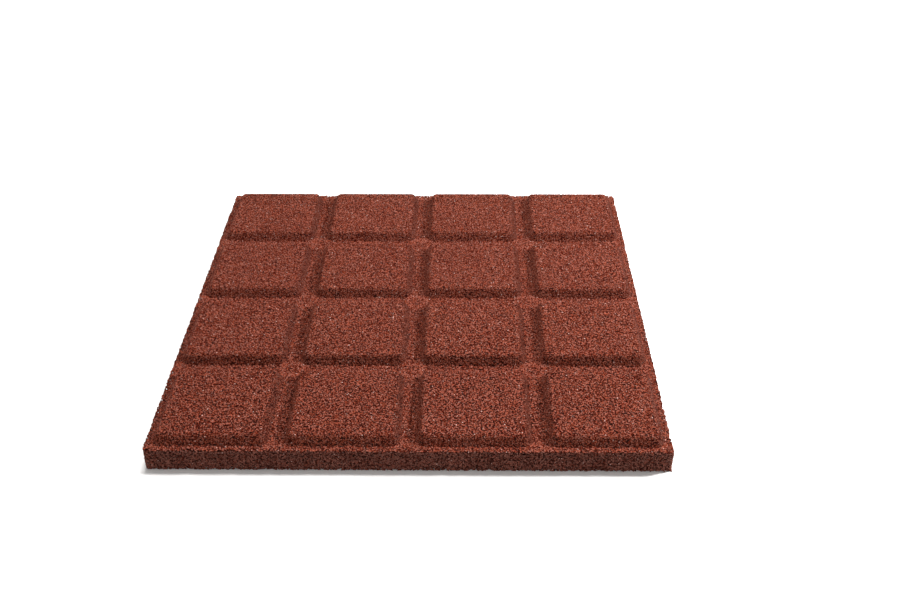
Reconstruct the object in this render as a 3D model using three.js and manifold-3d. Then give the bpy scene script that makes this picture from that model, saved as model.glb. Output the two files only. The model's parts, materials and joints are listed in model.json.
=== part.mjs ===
// A square floor tile moulded from bonded rubber granules, in millimetres, +Z up.
// It lies with its wearing face down: a flat slab, and on top of it a grid of square
// pads that carry the tile once it is laid the other way up. The channels between the
// pads let water drain away.

import * as THREE from 'three';
import Module from 'manifold-3d';

const tile_size = 500;            // length of each side of the square slab
const slab_thickness = 24;        // wearing face to the floor of the channels
const slab_corner_radius = 3;     // the four upright corners, seen from above
const rim_edge_radius = 1.5;      // edge between the sides and the channel floor
const wearing_edge_radius = 2.5;  // edge between the sides and the wearing face

const pads_per_row = 4;           // pads along each side
const pad_foot_width = 111;       // across a pad where it stands on the slab
const pad_height = 10;            // channel floor to the top of a pad
const pad_draft_deg = 30;         // lean of a pad's walls, from upright
const pad_edge_radius = 5;        // rounding between a pad's walls and its top
const pad_corner_radius = 10;     // a pad's corners at its foot, seen from above

const corner_steps = 5;           // facets round one corner seen from above
const edge_steps = 4;             // facets round one edge

const rubber_colour = 0x8a4335;

// Points round a square with rounded corners, counter-clockwise seen from above.
function roundedSquare(half_width, radius) {
  const centre = half_width - radius;
  const points = [];
  for (let corner = 0; corner < 4; corner++) {
    const sign_x = corner === 0 || corner === 3 ? 1 : -1;
    const sign_y = corner < 2 ? 1 : -1;
    for (let step = 0; step <= corner_steps; step++) {
      const angle = (corner + step / corner_steps) * Math.PI / 2;
      points.push(new THREE.Vector2(
        sign_x * centre + radius * Math.cos(angle),
        sign_y * centre + radius * Math.sin(angle)
      ));
    }
  }
  return points;
}

// A closed solid through square outlines stacked from the lowest level to the highest.
// Each level is { inset, z }: how far the outline has moved in from the widest one.
function stackedSolid(half_width, corner_radius, levels) {
  const smallest_radius = 0.5;
  const positions = [];
  const index = [];
  for (const { inset, z } of levels) {
    const radius = Math.max(corner_radius - inset, smallest_radius);
    for (const p of roundedSquare(half_width - inset, radius)) positions.push(p.x, p.y, z);
  }
  const ring = 4 * (corner_steps + 1);
  for (let level = 0; level < levels.length - 1; level++) {
    for (let i = 0; i < ring; i++) {
      const a = level * ring + i;
      const b = level * ring + (i + 1) % ring;
      index.push(a, b, b + ring, a, b + ring, a + ring);
    }
  }
  const bottom_centre = positions.length / 3;
  positions.push(0, 0, levels[0].z);
  const top_centre = bottom_centre + 1;
  positions.push(0, 0, levels[levels.length - 1].z);
  const top_ring = (levels.length - 1) * ring;
  for (let i = 0; i < ring; i++) {
    const next = (i + 1) % ring;
    index.push(bottom_centre, next, i);
    index.push(top_centre, top_ring + i, top_ring + next);
  }
  const geometry = new THREE.BufferGeometry();
  geometry.setAttribute('position', new THREE.Float32BufferAttribute(positions, 3));
  geometry.setIndex(index);
  return geometry;
}

// The slab: upright sides, with a small rounding at its lower and upper edges.
function slabGeometry() {
  const levels = [];
  for (let step = 0; step <= edge_steps; step++) {
    const angle = step / edge_steps * Math.PI / 2;
    levels.push({
      inset: wearing_edge_radius * (1 - Math.sin(angle)),
      z: wearing_edge_radius * (1 - Math.cos(angle))
    });
  }
  for (let step = 0; step <= edge_steps; step++) {
    const angle = step / edge_steps * Math.PI / 2;
    levels.push({
      inset: rim_edge_radius * (1 - Math.cos(angle)),
      z: slab_thickness - rim_edge_radius * (1 - Math.sin(angle))
    });
  }
  return stackedSolid(tile_size / 2, slab_corner_radius, levels);
}

// One pad: straight leaning walls that meet an arc, and the arc meets the flat top. It starts
// halfway down inside the slab, so that the two join into one solid.
function padGeometry() {
  const draft = THREE.MathUtils.degToRad(pad_draft_deg);
  const wall_rise = pad_height - pad_edge_radius * (1 - Math.sin(draft));
  const wall_inset = wall_rise * Math.tan(draft);
  const levels = [
    { inset: 0, z: slab_thickness / 2 },
    { inset: 0, z: slab_thickness }
  ];
  for (let step = 0; step <= edge_steps; step++) {
    const angle = draft + step / edge_steps * (Math.PI / 2 - draft);
    levels.push({
      inset: wall_inset + pad_edge_radius * (Math.cos(draft) - Math.cos(angle)),
      z: slab_thickness + wall_rise + pad_edge_radius * (Math.sin(angle) - Math.sin(draft))
    });
  }
  return stackedSolid(pad_foot_width / 2, pad_corner_radius, levels);
}

const wasm = await Module();
wasm.setup();

function toManifold(geometry) {
  return new wasm.Manifold(new wasm.Mesh({
    numProp: 3,
    vertProperties: new Float32Array(geometry.attributes.position.array),
    triVerts: new Uint32Array(geometry.index.array)
  }));
}

function toGeometry(manifold) {
  const mesh = manifold.getMesh();
  const geometry = new THREE.BufferGeometry();
  geometry.setAttribute('position', new THREE.BufferAttribute(mesh.vertProperties, 3));
  geometry.setIndex(new THREE.BufferAttribute(mesh.triVerts, 1));
  return geometry;
}

// The slab and its pads are joined into one solid, as the mould makes them.
const pitch = tile_size / pads_per_row;
const pad = padGeometry();
let solid = toManifold(slabGeometry());
for (let row = 0; row < pads_per_row; row++) {
  for (let column = 0; column < pads_per_row; column++) {
    const placed = pad.clone().translate(
      (column - (pads_per_row - 1) / 2) * pitch,
      (row - (pads_per_row - 1) / 2) * pitch,
      0
    );
    solid = solid.add(toManifold(placed));
  }
}

const tile_geometry = toGeometry(solid);
tile_geometry.computeVertexNormals();

const tile = new THREE.Mesh(
  tile_geometry,
  new THREE.MeshStandardMaterial({ color: rubber_colour, roughness: 0.85, metalness: 0, flatShading: true })
);
tile.name = 'tile';

const floor_tile = new THREE.Group();
floor_tile.name = 'floor_tile';
floor_tile.add(tile);

export default floor_tile;
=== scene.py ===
# %% [markdown]
# # A floor tile of bonded rubber granules
# The real tile is one moulding. Rubber crumbs of 1 to 4 mm are coated with a red binder, poured into a
# flat mould and pressed warm until they stick together. The mould gives the big shape: a square slab with
# a grid of square pads. The crumbs give the surface: small hard-edged lumps with dark pores between them.
# A smooth slab with a rough material could stand for that surface from afar, but its outline would be
# straight. So this lesson builds two things: a closed body with the mould's shape, and the crumbs that
# cover it.

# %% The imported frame
import json
import math
import bpy
import numpy as np
from mathutils import Matrix, Vector

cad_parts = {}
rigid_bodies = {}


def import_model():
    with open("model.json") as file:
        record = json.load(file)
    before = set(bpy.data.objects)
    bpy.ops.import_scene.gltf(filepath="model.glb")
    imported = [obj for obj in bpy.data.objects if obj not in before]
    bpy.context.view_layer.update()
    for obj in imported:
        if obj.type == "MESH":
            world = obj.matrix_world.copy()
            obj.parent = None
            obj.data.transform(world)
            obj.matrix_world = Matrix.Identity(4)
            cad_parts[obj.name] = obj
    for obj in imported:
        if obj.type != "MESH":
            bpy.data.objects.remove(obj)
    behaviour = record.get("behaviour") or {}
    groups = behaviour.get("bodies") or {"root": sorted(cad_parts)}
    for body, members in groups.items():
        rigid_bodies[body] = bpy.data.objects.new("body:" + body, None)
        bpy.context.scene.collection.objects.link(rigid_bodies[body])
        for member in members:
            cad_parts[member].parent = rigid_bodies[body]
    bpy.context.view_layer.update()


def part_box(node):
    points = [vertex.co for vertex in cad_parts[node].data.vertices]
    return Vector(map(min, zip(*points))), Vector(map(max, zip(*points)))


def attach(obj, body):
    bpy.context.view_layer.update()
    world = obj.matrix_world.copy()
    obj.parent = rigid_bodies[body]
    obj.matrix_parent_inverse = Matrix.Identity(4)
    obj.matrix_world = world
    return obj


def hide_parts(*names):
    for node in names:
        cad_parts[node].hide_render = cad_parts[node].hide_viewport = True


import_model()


# %% [markdown]
# ## Sizes
# The outer sizes are read from the solid tile, so the surface always fits it. They could be typed in again,
# but then a changed solid would leave its surface behind. The sizes of a pad can't be read from a box, so
# they are the mould's own, and repeat the ones that the solid was made with.

# %% Driving sizes
mm = 0.001
lowest, highest = (np.array(corner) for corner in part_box("tile"))
tile_size = highest[0] - lowest[0]
half_tile = tile_size / 2
tile_height = highest[2]

pads_per_row = 4
pitch = tile_size / pads_per_row
pad_foot_width = 111 * mm
pad_height = 10 * mm
pad_draft = math.radians(30)
pad_edge_radius = 5 * mm
pad_corner_radius = 10 * mm
slab_top = tile_height - pad_height
slab_corner_radius = 3 * mm
print(f"tile {tile_size / mm:.1f} mm, slab {slab_top / mm:.1f} mm, pads every {pitch / mm:.1f} mm")

# %% [markdown]
# ## The mould's shape as a height
# Seen from above, the pad side has no overhang, so its whole shape is one height for each point of the
# plan. A mesh of boxes with bevels would do as well, but a formula also tells where each crumb sits and
# which way the surface faces there.

# %% Height of the pad side
wall_rise = pad_height - pad_edge_radius * (1 - math.sin(pad_draft))
wall_inset = wall_rise * math.tan(pad_draft)


def pad_rise(x, y):
    """Height above the channel floor. The distance in from a pad's rounded square outline picks the place
    on its wall: first a straight lean, then an arc that ends level, then the flat top."""
    corner_centre = pad_foot_width / 2 - pad_corner_radius
    across = np.abs((x / pitch) % 1 - 0.5) * pitch - corner_centre
    along = np.abs((y / pitch) % 1 - 0.5) * pitch - corner_centre
    beyond_corner = np.hypot(np.maximum(across, 0), np.maximum(along, 0))
    within = np.minimum(np.maximum(across, along), 0)
    inset = pad_corner_radius - beyond_corner - within
    straight = np.clip(inset, 0, wall_inset) / math.tan(pad_draft)
    arc_start = math.cos(pad_draft)
    cosine = np.clip(arc_start - (inset - wall_inset) / pad_edge_radius, 0, arc_start)
    arc = pad_edge_radius * (np.sqrt(1 - cosine**2) - math.sin(pad_draft))
    return np.where(inset < wall_inset, straight, wall_rise + arc)


def mould_height(x, y):
    """Height of the pad side above the floor."""
    return slab_top + pad_rise(x, y)


pad_middle = pitch / 2
pad_top = mould_height(pad_middle, pad_middle)
print(f"channel floor at {slab_top / mm:.1f} mm, pad tops at {pad_top / mm:.1f} mm")

# %% Facing of the pad side
slope_step = 0.4 * mm


def facing(x, y):
    """Unit normal of the pad side, from the height's slope over a small step either way."""
    slope_x = (pad_rise(x + slope_step, y) - pad_rise(x - slope_step, y)) / (2 * slope_step)
    slope_y = (pad_rise(x, y + slope_step) - pad_rise(x, y - slope_step)) / (2 * slope_step)
    normal = np.stack([-slope_x, -slope_y, np.ones_like(slope_x)], axis=-1)
    return normal / np.linalg.norm(normal, axis=-1, keepdims=True)


right_wall = np.array([pad_middle + (pad_foot_width - wall_inset) / 2])
print("a pad's right wall faces", facing(right_wall, np.array([pad_middle]))[0].round(2))

# %% Even steps along the surface
section_samples = 4001
section_x = np.linspace(-half_tile, half_tile, section_samples)
section_rise = pad_rise(section_x, np.full_like(section_x, pad_middle))
section_way = np.concatenate([[0], np.cumsum(np.hypot(np.diff(section_x), np.diff(section_rise)))])
surface_width = section_way[-1]


def plan_places(travel):
    """Turns a share of the way across the tile, 0 to 1, measured along the surface over pads and channels,
    into a place in the plan. Equal shares then give equal distances on the pads' walls too."""
    return np.interp(travel * surface_width, section_way, section_x)


print(f"over the pads the surface is {surface_width / mm:.1f} mm wide")

# %% [markdown]
# ## Meshes from whole arrays
# Every piece comes as two arrays, its points and its faces, and one helper turns them into an object.
# Blender's from_pydata would do it in one call, but foreach_set copies whole arrays, which is much faster
# for hundreds of thousands of faces. Crumbs are angular, so faces are shaded flat.

# %% Map for baking
bake_margin = 0.12


def bake_map(face_count, corners):
    """Gives face number n its own small square in a grid of squares, so that no two faces share a place.
    A triangle takes three of its square's four corners."""
    squares = math.ceil(math.sqrt(face_count))
    number = np.arange(face_count)
    origin = np.stack([number % squares, number // squares], axis=-1)[:, None, :]
    near, far = bake_margin, 1 - bake_margin
    outline = np.array([[near, near], [far, near], [far, far], [near, far]])
    if corners == 3:
        outline = outline[[0, 1, 3]]
    return (origin + outline) / squares


print("two triangles on the map:", bake_map(2, 3).round(2).tolist())


# %% Mesh helper
def make_piece(name, points, faces, material, baked=True):
    """Puts arrays of points and faces, of three or four corners each, into a new mesh object."""
    corners = faces.shape[1]
    mesh = bpy.data.meshes.new(name)
    mesh.vertices.add(len(points))
    mesh.vertices.foreach_set("co", points.astype(np.float32).ravel())
    mesh.loops.add(faces.size)
    mesh.loops.foreach_set("vertex_index", faces.astype(np.int32).ravel())
    mesh.polygons.add(len(faces))
    mesh.polygons.foreach_set("loop_start", np.arange(0, faces.size, corners, dtype=np.int32))
    mesh.update(calc_edges=True)
    mesh.shade_flat()
    if baked:
        layer = mesh.uv_layers.new(name="OFBake")
        layer.data.foreach_set("uv", bake_map(len(faces), corners).astype(np.float32).ravel())
    mesh.materials.append(material)
    piece = bpy.data.objects.new(name, mesh)
    bpy.context.scene.collection.objects.link(piece)
    print(f"{name}: {len(points)} points, {len(faces) * (corners - 2)} triangles")
    return piece


def add_number(piece, name, values):
    """Stores one number per face under a name that the material reads."""
    attribute = piece.data.attributes.new(name, "FLOAT", "FACE")
    attribute.data.foreach_set("value", values.astype(np.float32))


# %% [markdown]
# ## Material helpers
# Colours are given as hex values, which are sRGB, and Cycles wants them linear. Nodes could be
# placed by hand in the Shader Editor, but as text a material can be read and repeated. So one function
# adds any node, sets its properties and its unlinked sockets, and makes its links.


# %% Colours
def linear(hex_colour):
    """sRGB hex to linear red, green, blue and full alpha. Each channel is divided by 12.92 when very dark,
    and otherwise follows a power of 2.4."""
    srgb = np.array([int(hex_colour[i : i + 2], 16) for i in (1, 3, 5)]) / 255
    value = np.where(srgb <= 0.04045, srgb / 12.92, ((srgb + 0.055) / 1.055) ** 2.4)
    return (*value.tolist(), 1.0)


print("sRGB middle grey in linear light:", round(linear("#808080")[0], 3))


# %% Nodes
def add_node(tree, kind, settings=None, values=None, links=None):
    """Adds a node. settings are its properties, values its sockets' numbers, and links says which output
    feeds which of its sockets."""
    node = tree.nodes.new(kind)
    for key, value in (settings or {}).items():
        setattr(node, key, value)
    for key, value in (values or {}).items():
        node.inputs[key].default_value = value
    for key, output in (links or {}).items():
        tree.links.new(output, node.inputs[key])
    return node


def new_material(name):
    """An empty node material and its tree."""
    material = bpy.data.materials.new(name)
    material.use_nodes = True
    material.node_tree.nodes.clear()
    return material, material.node_tree


def set_ramp(node, stops):
    """Fills a Color Ramp with (place, hex colour) stops."""
    ramp = node.color_ramp
    while len(ramp.elements) < len(stops):
        ramp.elements.new(0.5)
    for element, (place, colour) in zip(ramp.elements, stops):
        element.position = place
        element.color = linear(colour)


# %% [markdown]
# ## Coated crumb rubber
# Each crumb is a torn piece of black rubber in a thin skin of red polyurethane binder, pressed while warm.
# The skin is matt, and where it is thin the rubber looks brown. Close up it shows grains of about 1 mm
# with pores between them, and now and then a pale speck. The pores' dark red is painted shade, the shade
# that falls between the grains, and the pale specks are painted glints. Noise would give soft clouds, so
# the grains are the cells of a Voronoi pattern: one channel of a cell's random colour is the grain's
# number, and the distance from the cell's centre tells where its painted pore shade begins.

# %% Values of the grains
grain_size = 1.15 * mm
grain_flattening = 1.6
grain_share = 0.88
pore_start = 0.46
pore_end = 0.69
# The few highest grain numbers turn pale: painted glints of light off the skin.
glint_start = 0.993
glint_end = 0.997
# The binder's reds for the grains' random tones. The lighter stops turn greyer pink, partly the binder's own
# colour and partly painted sheen.
binder_reds_and_painted_sheen = [
    (0.00, "#400c06"),
    (0.17, "#662617"),
    (0.33, "#803e2b"),
    (0.62, "#834638"),
    (1.00, "#84594e"),
]
# A greyer brown: thinner binder on the sides, and painted grey sheen on the sides and the right walls.
thin_binder_and_sheen_brown = "#6b4e46"
painted_glint_pink = "#b8968c"
# The pores' colour is painted shade: the dark that falls between the grains.
painted_pore_shade_red = "#2a0300"


def pressed_place(tree):
    """Places on the object, with height stretched, so that a pattern's cells come out pressed flat."""
    place = add_node(tree, "ShaderNodeTexCoord").outputs["Object"]
    stretched = add_node(
        tree, "ShaderNodeVectorMath", {"operation": "MULTIPLY"}, {1: (1.0, 1.0, grain_flattening)},
        {0: place},
    )
    return stretched.outputs["Vector"]


print(f"grains {grain_size / mm:.2f} mm wide and {grain_size / grain_flattening / mm:.2f} mm high")


# %% Colour of a grain
def grain_colour(tree, grain_number):
    """The binder's ramp is read at a mix of the grain's number and its crumb's tone. The crumb's wear number
    turns the result towards a greyer brown, which stands for thinner binder on the sides and for painted
    sheen, and the few highest numbers become pale painted glints."""
    tone = add_node(tree, "ShaderNodeAttribute", {"attribute_name": "tone"}).outputs["Fac"]
    wear_and_sheen = add_node(tree, "ShaderNodeAttribute", {"attribute_name": "wear_and_sheen"}).outputs["Fac"]
    lightness = add_node(
        tree, "ShaderNodeMix", {"data_type": "FLOAT"}, {"Factor": grain_share},
        {"A": tone, "B": grain_number},
    )
    binder = add_node(tree, "ShaderNodeValToRGB", links={"Fac": lightness.outputs["Result"]})
    set_ramp(binder, binder_reds_and_painted_sheen)
    binder_with_wear_and_sheen = add_node(
        tree, "ShaderNodeMix", {"data_type": "RGBA"}, {"B": linear(thin_binder_and_sheen_brown)},
        {"Factor": wear_and_sheen, "A": binder.outputs["Color"]},
    )
    glint_mask = add_node(
        tree, "ShaderNodeMapRange", values={"From Min": glint_start, "From Max": glint_end},
        links={"Value": grain_number},
    )
    with_painted_glints = add_node(
        tree, "ShaderNodeMix", {"data_type": "RGBA"}, {"B": linear(painted_glint_pink)},
        {"Factor": glint_mask.outputs["Result"], "A": binder_with_wear_and_sheen.outputs["Result"]},
    )
    return with_painted_glints.outputs["Result"]


# %% Material of the crumbs
def coated_crumb_rubber():
    """From the middle of a grain to its pore, its colour sinks to the pore's painted shade and its surface
    drops. The crumb's shade, which is painted shade and light, scales both colours, and grains of a higher
    number are smoother as well as lighter. Rubber's IOR is 1.5, but the mirror share is set very low, and
    the lighter grains' greyer pink stands partly for painted sheen."""
    material, tree = new_material("moulded_red_crumb_rubber")
    grains = add_node(
        tree, "ShaderNodeTexVoronoi", {"feature": "F1"}, {"Scale": 1 / grain_size},
        {"Vector": pressed_place(tree)},
    )
    grain_number = add_node(
        tree, "ShaderNodeSeparateColor", links={"Color": grains.outputs["Color"]}
    ).outputs["Red"]
    on_grain = add_node(
        tree, "ShaderNodeMapRange",
        values={"From Min": pore_start, "From Max": pore_end, "To Min": 1.0, "To Max": 0.0},
        links={"Value": grains.outputs["Distance"]},
    )
    colour = add_node(
        tree, "ShaderNodeMix", {"data_type": "RGBA"}, {"A": linear(painted_pore_shade_red)},
        {"Factor": on_grain.outputs["Result"], "B": grain_colour(tree, grain_number)},
    )
    shade = add_node(tree, "ShaderNodeAttribute", {"attribute_name": "shade"})
    shaded = add_node(
        tree, "ShaderNodeVectorMath", {"operation": "SCALE"},
        links={0: colour.outputs["Result"], "Scale": shade.outputs["Fac"]},
    )
    roughness = add_node(
        tree, "ShaderNodeMapRange", values={"To Min": 0.85, "To Max": 0.6}, links={"Value": grain_number}
    )
    bump = add_node(
        tree, "ShaderNodeBump", values={"Strength": 0.55, "Distance": 0.4 * mm},
        links={"Height": on_grain.outputs["Result"]},
    )
    shader = add_node(
        tree, "ShaderNodeBsdfPrincipled", values={"IOR": 1.5, "Specular IOR Level": 0.02},
        links={
            "Base Color": shaded.outputs["Vector"],
            "Roughness": roughness.outputs["Result"],
            "Normal": bump.outputs["Normal"],
        },
    )
    add_node(tree, "ShaderNodeOutputMaterial", links={"Surface": shader.outputs["BSDF"]})
    return material


crumb_rubber = coated_crumb_rubber()
print(f"{crumb_rubber.name}: {len(crumb_rubber.node_tree.nodes)} nodes")

# %% [markdown]
# ## Rubber deep in the pores
# Between the top crumbs the eye sees the next layer down. It is the same rubber, but in deep shade, so it
# is painted in that shade as a dark red brown with the cells of the crumbs below. A second layer of crumbs
# could be built, but so little of it would show that a pattern on the body does as well.

# %% Material of the body
lower_crumb_size = 2.2 * mm


def shaded_pore_rubber():
    """The further from a cell's centre, the darker the colour, which is painted shade, and the lower the
    surface.
    """
    material, tree = new_material("shaded_pore_rubber")
    cells = add_node(
        tree, "ShaderNodeTexVoronoi", {"feature": "F1"}, {"Scale": 1 / lower_crumb_size},
        {"Vector": pressed_place(tree)},
    )
    height = add_node(
        tree, "ShaderNodeMapRange",
        values={"From Min": 0.2, "From Max": 0.65, "To Min": 1.0, "To Max": 0.0},
        links={"Value": cells.outputs["Distance"]},
    )
    binder = add_node(tree, "ShaderNodeValToRGB", links={"Fac": height.outputs["Result"]})
    set_ramp(binder, [(0.0, "#260d07"), (0.5, "#4d1b0f"), (1.0, "#742e1c")])
    bump = add_node(
        tree, "ShaderNodeBump", values={"Strength": 0.8, "Distance": 0.8 * mm},
        links={"Height": height.outputs["Result"]},
    )
    shader = add_node(
        tree, "ShaderNodeBsdfPrincipled", values={"Roughness": 0.85, "IOR": 1.5, "Specular IOR Level": 0.1},
        links={"Base Color": binder.outputs["Color"], "Normal": bump.outputs["Normal"]},
    )
    add_node(tree, "ShaderNodeOutputMaterial", links={"Surface": shader.outputs["BSDF"]})
    return material


pore_rubber = shaded_pore_rubber()
print(f"{pore_rubber.name}: {len(pore_rubber.node_tree.nodes)} nodes")

# %% [markdown]
# ## The body under the crumbs
# The body has the mould's whole shape, a little under the surface, and closes every gap between crumbs.
# It could be a copy of the solid tile, pushed in, but a solid's flat faces have points at their edges
# alone. A grid wrapped round the slab has them at even distances, so it can be slightly uneven all over.

# %% Values of the body
crumb_cover = 1.3 * mm
side_cover = 2.0 * mm
wearing_cover = 0.5 * mm
body_edge_radius = 2 * mm
body_spacing = 4.0 * mm
unevenness = 0.35 * mm
rounding_rings = 3
upright_rings = 5
body_count = int(round(surface_width / body_spacing)) + 1
print(f"body: {body_count} by {body_count} points over the pad side")

random_seed = 41
random = np.random.default_rng(random_seed)


# %% Corners and border of a square grid
def round_plan_corners(x, y, half_width, radius):
    """Draws a square outline's corners in to arcs: beyond the corner's centre, the larger of the two
    offsets becomes the distance from it."""
    tiny = 1e-12
    over_x = np.maximum(np.abs(x) - (half_width - radius), 0)
    over_y = np.maximum(np.abs(y) - (half_width - radius), 0)
    reach = np.hypot(over_x, over_y)
    pull = np.where(reach > 0, np.maximum(over_x, over_y) / np.maximum(reach, tiny), 1)
    new_x = np.sign(x) * (np.minimum(np.abs(x), half_width - radius) + over_x * pull)
    new_y = np.sign(y) * (np.minimum(np.abs(y), half_width - radius) + over_y * pull)
    return new_x, new_y


def square_ring(count):
    """Row and column numbers of a grid's border points, once round, counter-clockwise from above."""
    step = np.arange(count - 1)
    last = count - 1
    column = np.concatenate([step, np.full(last, last), last - step, np.zeros(last, int)])
    row = np.concatenate([np.zeros(last, int), step, np.full(last, last), last - step])
    return row, column


print("border of a 3 by 3 grid, rows and columns:", np.stack(square_ring(3)).tolist())


# %% Points of the body
def side_levels():
    """How far each ring round the sides stands out from the grid's border, and its height: a quarter circle
    down from the rim, an upright stretch, and a quarter circle in to the wearing face."""
    turn = np.linspace(0, np.pi / 2, rounding_rings + 1)[1:]
    rounding = [(body_edge_radius * math.sin(a), body_edge_radius * (1 - math.cos(a))) for a in turn]
    levels = [(out, slab_top - crumb_cover - drop) for out, drop in rounding]
    upright = np.linspace(levels[-1][1], wearing_cover + body_edge_radius, upright_rings + 2)[1:-1]
    levels += [(body_edge_radius, z) for z in upright]
    levels += [(out, wearing_cover + drop) for out, drop in reversed(rounding)]
    return levels


def body_points(count, levels):
    """A grid over the pad side, then the rings, which are the grid's border scaled out to their level, then
    the same grid over the wearing face."""
    line = plan_places(np.linspace(0, 1, count))
    border_half = half_tile - side_cover - body_edge_radius
    grid_x, grid_y = np.meshgrid(line * border_half / half_tile, line * border_half / half_tile)
    grid_x, grid_y = round_plan_corners(grid_x, grid_y, border_half, slab_corner_radius)
    top = np.stack([grid_x, grid_y, slab_top - crumb_cover + pad_rise(grid_x, grid_y)], axis=-1)
    under = np.stack([grid_x, grid_y, np.full_like(grid_x, wearing_cover)], axis=-1)
    row, column = square_ring(count)
    border = np.stack([grid_x[row, column], grid_y[row, column]], axis=-1)
    rings = []
    for out, z in levels:
        scale = (border_half + out) / border_half
        rings.append(np.column_stack([border * scale, np.full(len(border), z)]))
    return np.concatenate([top.reshape(-1, 3), *rings, under.reshape(-1, 3)])


body_levels = side_levels()
body_places = body_points(body_count, body_levels)
body_places = body_places + random.uniform(-unevenness, unevenness, body_places.shape)
print(f"body: {len(body_levels)} rings down the sides, {len(body_places)} points in all")


# %% Body of the tile
def body_faces(count, ring_count):
    """Squares between a grid's neighbours, facing up on the pad side and down on the wearing face, and
    squares between each closed line of points round the sides and the next line down."""
    cell = np.arange(count * count).reshape(count, count)
    quads = np.stack([cell[:-1, :-1], cell[:-1, 1:], cell[1:, 1:], cell[1:, :-1]], axis=-1).reshape(-1, 4)
    border = cell[square_ring(count)]
    under_start = count * count + ring_count * len(border)
    loops = [border]
    loops += [count * count + ring * len(border) + np.arange(len(border)) for ring in range(ring_count)]
    loops += [under_start + border]
    sides = []
    for upper, lower in zip(loops[:-1], loops[1:]):
        sides.append(np.stack([lower, np.roll(lower, -1), np.roll(upper, -1), upper], axis=-1))
    return np.concatenate([quads, *sides, under_start + quads[:, ::-1]])


body = make_piece("tile_body", body_places, body_faces(body_count, len(body_levels)), pore_rubber)

# %% [markdown]
# ## Crumbs
# A crumb is a torn, angular lump. One plain form stands for all of them once its corners are moved and its
# sides stretched at random: a double pyramid, which stands on a corner or lies on a face. The crumbs could
# be scattered by Geometry Nodes, but arrays keep every crumb's number at hand for its shade. The mould
# presses the outermost crumbs flat, so no corner passes the mould's faces.

# %% Crumb form
standing_reach = 1.3
standing = standing_reach * np.array([[1, 0, 0], [0, 1, 0], [-1, 0, 0], [0, -1, 0], [0, 0, 1], [0, 0, -1]])

lying_reach = 1.1
lying_half_height = 0.75
turns = np.radians([0, 120, 180, 300, 240, 60])
ends = np.array([1, 1, -1, -1, 1, -1])
lying = np.column_stack([lying_reach * np.cos(turns), lying_reach * np.sin(turns), lying_half_height * ends])

crumb_faces = np.array([
    [0, 1, 4], [1, 2, 4], [2, 3, 4], [3, 0, 4],
    [1, 0, 5], [2, 1, 5], [3, 2, 5], [0, 3, 5],
])
print(f"crumb form: {len(standing)} corners, {len(crumb_faces)} faces")


# %% Directions of the crumbs
def random_frames(normals, tilt):
    """For each crumb, three directions at right angles: the surface's normal tipped by a random amount,
    a random direction along the surface, and the third from both."""
    count = len(normals)
    tipped = normals + np.reshape(tilt, (-1, 1)) * random.normal(size=(count, 3))
    tipped /= np.linalg.norm(tipped, axis=1, keepdims=True)
    along = np.cross(tipped, random.normal(size=(count, 3)))
    along /= np.linalg.norm(along, axis=1, keepdims=True)
    return np.stack([along, np.cross(tipped, along), tipped], axis=1)


# %% Crumbs at given places
standing_share = 0.5
corner_shift = 0.32
least_stretch = [0.47, 0.38, 0.34]
most_stretch = [0.74, 0.60, 0.50]
least_wear_and_sheen = 0.6
most_wear_and_sheen = 1.4


def make_crumbs(name, places, normals, spacing, tilt, shade=1.0, wear_and_sheen=0.0, mould=None):
    """One joined piece of crumbs. Each crumb's corners are moved at random, stretched along its own three
    directions by shares of the spacing and carried to its place. The mould, a function of x and y, is the
    highest they may reach. Shade scales a crumb's colours, as painted shade below one and painted light
    above it, and the wear number is its mean share of a greyer brown that stands for lost binder and painted
    sheen."""
    count = len(places)
    form = np.where(random.random((count, 1, 1)) < standing_share, standing, lying)
    shape = form + random.uniform(-corner_shift, corner_shift, (count, len(standing), 3))
    stretch = random.uniform(least_stretch, most_stretch, (count, 3)) * spacing
    directions = random_frames(normals, tilt)
    points = np.einsum("nkc,nc,ncd->nkd", shape, stretch, directions) + places[:, None, :]
    points = np.clip(points, lowest, highest).reshape(-1, 3)
    if mould is not None:
        points[:, 2] = np.minimum(points[:, 2], mould(points[:, 0], points[:, 1]))
    faces = (crumb_faces[None] + np.arange(count)[:, None, None] * len(standing)).reshape(-1, 3)
    piece = make_piece(name, points, faces, crumb_rubber)
    add_number(piece, "tone", np.repeat(random.random(count), len(crumb_faces)))
    add_number(piece, "shade", np.repeat(shade * np.ones(count), len(crumb_faces)))
    crumb_wear_and_sheen = random.uniform(least_wear_and_sheen, most_wear_and_sheen, count) * wear_and_sheen
    add_number(piece, "wear_and_sheen", np.repeat(crumb_wear_and_sheen, len(crumb_faces)))
    return piece


print("stretch in shares of the spacing:", least_stretch, "to", most_stretch)


# %% [markdown]
# ## Places over the pad side
# Pure chance leaves bald spots, and a neat grid looks woven. So the crumbs start on a grid that is even
# along the surface, and each one is moved up to about half a step at random.

# %% Moved grid
crumb_spacing = 2.0 * mm
largest_move = 0.48


def jittered_grid(columns, rows):
    """Shares of the way across and along, one for each cell of a grid, moved at random in its cell."""
    column, row = np.meshgrid(np.arange(columns), np.arange(rows))
    move = random.uniform(-largest_move, largest_move, (2, rows, columns))
    return ((column + 0.5 + move[0]) / columns).ravel(), ((row + 0.5 + move[1]) / rows).ravel()


pad_side_count = int(round(surface_width / crumb_spacing))
print(f"pad side: {pad_side_count} by {pad_side_count} crumbs")

# %% [markdown]
# ## Slow unevenness
# Over a few millimetres a moulding of crumbs swells and sinks a little, and its outline is ragged. A
# Displace modifier could do that to one mesh, but here it has to move whole crumbs. So it comes from
# tables of random numbers with smooth values between them.

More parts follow.
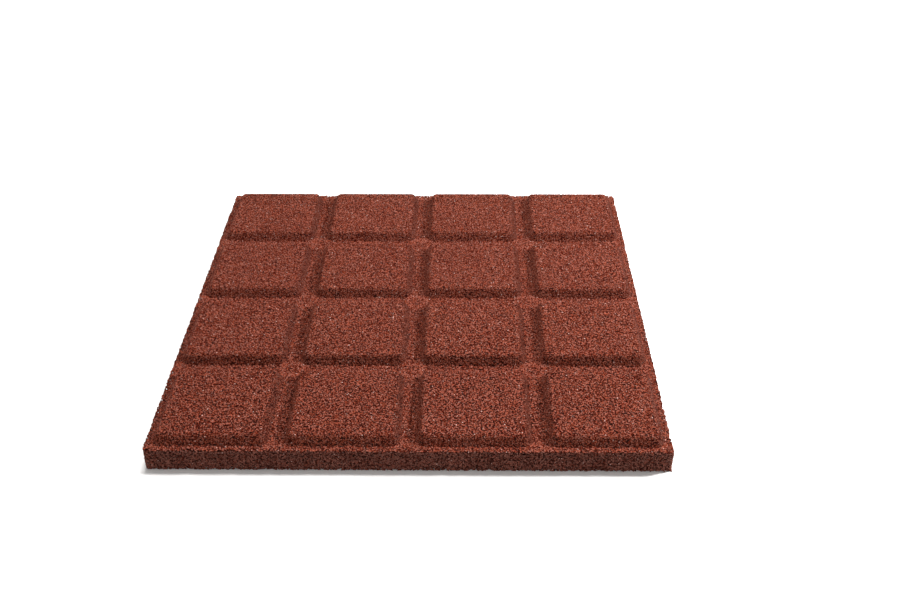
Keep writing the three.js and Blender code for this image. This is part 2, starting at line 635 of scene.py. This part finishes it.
# %% Lumps
lump_size = 5.5 * mm
lump_height = 0.25 * mm
ragged_outline = 1.8 * mm
outline_fineness = 1.5
table_width = 3 * tile_size
lump_cells = 1 + int(table_width / lump_size)
relief_table = random.uniform(-1, 1, (lump_cells, lump_cells))
outline_table = random.uniform(-1, 1, (lump_cells, lump_cells))


def lumps(table, along, up):
    """Smooth unevenness from -1 to 1: a table of random numbers on a coarse grid, with the values between
    its points mixed from the four around. The table repeats past its ends."""
    cells = len(table)
    u = (along + half_tile) / lump_size
    v = (up + half_tile) / lump_size
    column, row = np.floor(u).astype(int) % cells, np.floor(v).astype(int) % cells
    next_column, next_row = (column + 1) % cells, (row + 1) % cells
    part_u, part_v = u % 1, v % 1
    lower = table[row, column] * (1 - part_u) + table[row, next_column] * part_u
    upper = table[next_row, column] * (1 - part_u) + table[next_row, next_column] * part_u
    return lower * (1 - part_v) + upper * part_v


def draw_in(x, y, chosen):
    """Moves the chosen places towards the middle by up to the outline's raggedness."""
    inwards = np.maximum(lumps(outline_table, outline_fineness * x, outline_fineness * y), 0)
    share = 1 - chosen * ragged_outline * inwards / half_tile
    return x * share, y * share


print(f"unevenness: {lump_cells} by {lump_cells} random numbers, {lump_size / mm:.1f} mm apart")

# %% [markdown]
# ## Crumbs over the pad side
# The crumbs lie a little under the mould's face, some deeper than others. The near and far walls of the
# real pads are evener than the rest, so depth and tilt vary less there. The walls on the right get painted
# shade and a little painted grey sheen, and the near ones a little painted shade. More lamps could shade
# them too, but a number for each crumb leaves the rest alone.

# %% Places of the pad side's crumbs
crumb_depth = 0.35 * mm
depth_spread = 0.2 * mm
edge_gap = 0.6 * mm
outline_zone = 3 * ragged_outline


def pad_side_places(count):
    """Crumb centres a little under the pad side, and the way the surface faces there."""
    across, along = jittered_grid(count, count)
    edge = 1 - 2 * edge_gap / tile_size
    x = plan_places(across) * edge
    y = plan_places(along) * edge
    normals = facing(x, y)
    x, y = draw_in(x, y, np.maximum(np.abs(x), np.abs(y)) > half_tile - outline_zone)
    surface = np.column_stack([x, y, mould_height(x, y)])
    relief = random.normal(0, depth_spread, len(x)) + lump_height * lumps(relief_table, x, y)
    depth = crumb_depth + relief * (1 - normals[:, 1] ** 2)
    return surface - normals * depth[:, None], normals


pad_side, pad_side_facing = pad_side_places(pad_side_count)
print(f"pad side: {len(pad_side)} crumbs")

# %% Pad side crumbs
pad_side_tilt = 0.18
# How much painted shade the right walls and the near walls get.
right_wall_painted_shade = 0.42
near_wall_painted_shade = 0.1
# Painted grey sheen on the right walls, by how far they turn to the right.
right_wall_painted_sheen = 0.07


def painted_wall_shade(normals):
    """Painted shade: one, less a share of how far the surface turns to the right, less a share of how far it
    turns to the near side."""
    right, near = np.maximum(normals[:, 0], 0), np.maximum(-normals[:, 1], 0)
    return 1 - right_wall_painted_shade * right - near_wall_painted_shade * near


band = np.clip(((pad_side[:, 1] + half_tile) / pitch).astype(int), 0, pads_per_row - 1)
crumb_pieces = []
for row in range(pads_per_row):
    turned = pad_side_facing[band == row]
    crumb_pieces.append(make_crumbs(
        f"pad_side_crumbs_{row + 1}", pad_side[band == row], turned, crumb_spacing,
        tilt=pad_side_tilt * (1 - turned[:, 1] ** 2), shade=painted_wall_shade(turned),
        wear_and_sheen=right_wall_painted_sheen * np.maximum(turned[:, 0], 0), mould=mould_height,
    ))

# %% [markdown]
# ## Crumbs on the four sides
# The sides are upright and stand against the mould's frame, so the crumbs there form a wall of their own
# that turns round the small corner radius. The pad side's grid could be bent down over the rim, but a path
# round the tile keeps the spacing even. The crumbs here are mixed about half way to a greyer brown, which
# stands partly for thinner binder and partly for painted sheen. They get painted shade at the rim and
# painted light towards the foot, to balance the dark corner that they make with the floor.

# %% Places of the side crumbs
lowest_side_level = 0.6 * mm
side_top_gap = 1.0 * mm
side_depth_spread = 1.5 * depth_spread
side_lump_height = 1.2 * lump_height
side_ways = np.array([[0, -1], [1, 0], [0, 1], [-1, 0]], float)


def side_places(spacing):
    """The share of the way round gives the side and the place along it, from the near left corner and
    counter-clockwise, and the other share gives the level. A crumb on a corner's arc faces away from the
    arc's centre."""
    sides = len(side_ways)
    columns = int(round(sides * tile_size / spacing))
    rows = int(round(slab_top / spacing))
    along, up = jittered_grid(columns, rows)
    way = side_ways[np.floor(along * sides).astype(int) % sides]
    reach = ((along * sides) % 1 - 0.5) * tile_size
    x = np.where(way[:, 0] == 0, reach, way[:, 0] * half_tile)
    y = np.where(way[:, 1] == 0, reach, way[:, 1] * half_tile)
    x, y = round_plan_corners(x, y, half_tile, slab_corner_radius)
    corner = half_tile - slab_corner_radius
    outward = np.column_stack([
        np.sign(x) * np.maximum(np.abs(x) - corner, 0), np.sign(y) * np.maximum(np.abs(y) - corner, 0),
        np.zeros_like(x),
    ])
    outward /= np.linalg.norm(outward, axis=1, keepdims=True)
    level = lowest_side_level + up * (slab_top - side_top_gap - lowest_side_level)
    x, y = draw_in(x, y, chosen=True)
    depth = crumb_depth + np.abs(random.normal(0, side_depth_spread, len(x)))
    depth += side_lump_height * lumps(relief_table, x + y, level)
    return np.column_stack([x, y, level]) - outward * depth[:, None], outward


side_centres, side_facing = side_places(crumb_spacing)
print(f"sides: {len(side_centres)} crumbs")

# %% Side crumbs
side_tilt = 0.25
side_wear_and_sheen = 0.5
# Painted shade at the rim of the sides, and painted light that grows towards the foot.
rim_painted_shade = 0.89
foot_painted_light = 0.45

below_rim = 1 - side_centres[:, 2] / slab_top
crumb_pieces.append(make_crumbs(
    "side_crumbs", side_centres, side_facing, crumb_spacing,
    tilt=side_tilt, shade=rim_painted_shade + foot_painted_light * below_rim**2, wear_and_sheen=side_wear_and_sheen, mould=mould_height,
))

# %% [markdown]
# ## Crumbs on the wearing face
# The wearing face is pressed against the flat bottom of the mould, so its crumbs end in one plane. The
# body alone would do while the tile lies on the floor, but turned over it would look smooth. A wider
# spacing keeps the number of these crumbs down.

# %% Wearing face crumbs
wearing_spacing = 3.2 * mm
wearing_tilt = 0.2


def wearing_places(spacing):
    """Crumb centres just above the wearing face, all facing down."""
    count = int(round(tile_size / spacing))
    across, along = jittered_grid(count, count)
    x = (across - 0.5) * (tile_size - 2 * edge_gap)
    y = (along - 0.5) * (tile_size - 2 * edge_gap)
    depth = crumb_depth + np.abs(random.normal(0, depth_spread, len(x)))
    return np.column_stack([x, y, depth]), np.tile([0.0, 0.0, -1.0], (len(x), 1))


wearing_centres, wearing_facing = wearing_places(wearing_spacing)
left = wearing_centres[:, 0] < 0
for name, chosen in (("wearing_crumbs_left", left), ("wearing_crumbs_right", ~left)):
    crumb_pieces.append(make_crumbs(
        name, wearing_centres[chosen], wearing_facing[chosen], wearing_spacing, tilt=wearing_tilt
    ))

# %% [markdown]
# ## One body
# All of these pieces are one moulding, so they ride on the one body, and the solid tile is hidden. They
# could be joined into one object, but in pieces of fewer than 200,000 triangles each keeps its full detail.

# %% Ride and replace
pieces = [body, *crumb_pieces]
for piece in pieces:
    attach(piece, "root")
    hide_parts("tile")
print("triangles in all:", sum(len(piece.data.loops) - 2 * len(piece.data.polygons) for piece in pieces))

# %% [markdown]
# ## Floor, light and camera
# The tile lies on a plain pale floor in soft light. The light comes mostly from above and behind, with
# more on the right, so pad tops are bright, the walls turned to the viewer are dark, and the pads shade
# the channel on their left. A picture of a studio could light it too, but two lamps and an even white
# surround can be set one at a time.

# %% Floor
floor_size = 30.0
floor_points = np.array([[-1, -1, 0], [1, -1, 0], [1, 1, 0], [-1, 1, 0]]) * floor_size / 2
floor_material, floor_tree = new_material("matt_white_floor")
floor_shader = add_node(
    floor_tree, "ShaderNodeBsdfPrincipled", values={"Base Color": linear("#f2f1ef"), "Roughness": 0.9}
)
add_node(floor_tree, "ShaderNodeOutputMaterial", links={"Surface": floor_shader.outputs["BSDF"]})
floor = make_piece("floor", floor_points, np.array([[0, 1, 2, 3]]), floor_material, baked=False)


# %% Lamps
def softbox(name, place, size, power):
    """A square area light that faces the middle of the wearing face."""
    light = bpy.data.lights.new(name, "AREA")
    light.shape = "SQUARE"
    light.size = size
    light.energy = power
    lamp = bpy.data.objects.new(name, light)
    lamp.location = place
    lamp.rotation_euler = Vector(place).to_track_quat("Z", "Y").to_euler()
    bpy.context.scene.collection.objects.link(lamp)
    print(f"{name}: {power} W over {size} m")


softbox("overhead_softbox", place=(-0.05, 0.46, 1.55), size=0.7, power=35)
softbox("right_softbox", place=(1.3, 0.08, 0.94), size=0.21, power=42)

# %% White surround
surround_strength = 0.54
world = bpy.data.worlds.new("studio")
world.use_nodes = True
background = world.node_tree.nodes["Background"]
background.inputs["Color"].default_value = linear("#ffffff")
background.inputs["Strength"].default_value = surround_strength
bpy.context.scene.world = world
bpy.context.scene.view_settings.view_transform = "Standard"
print("surround strength:", surround_strength)

# %% [markdown]
# ## The viewer's place
# The camera's place, aim, roll and focal length come from a pinhole camera that was fitted to the tile's
# edges. They could be judged by eye, but a fit shows the pads at the right slant from the first render.

# %% Camera
picture_width = 900
focal_pixels = 1059.3
sensor_width = 36
camera_place = Vector((53.4, -989.2, 697.5)) * mm
camera_aim = Vector((36.8, 14.9, 16.0)) * mm
camera_roll = math.radians(-0.37)

camera_data = bpy.data.cameras.new("camera")
camera_data.sensor_width = sensor_width
camera_data.lens = focal_pixels / picture_width * sensor_width
camera = bpy.data.objects.new("camera", camera_data)
aim = (camera_aim - camera_place).to_track_quat("-Z", "Y").to_matrix()
turn = (aim @ Matrix.Rotation(camera_roll, 3, "Z")).to_4x4()
camera.matrix_world = Matrix.Translation(camera_place) @ turn
bpy.context.scene.collection.objects.link(camera)
bpy.context.scene.camera = camera
print(f"lens {camera_data.lens:.1f} mm, {camera_place.length:.2f} m from the tile's middle")
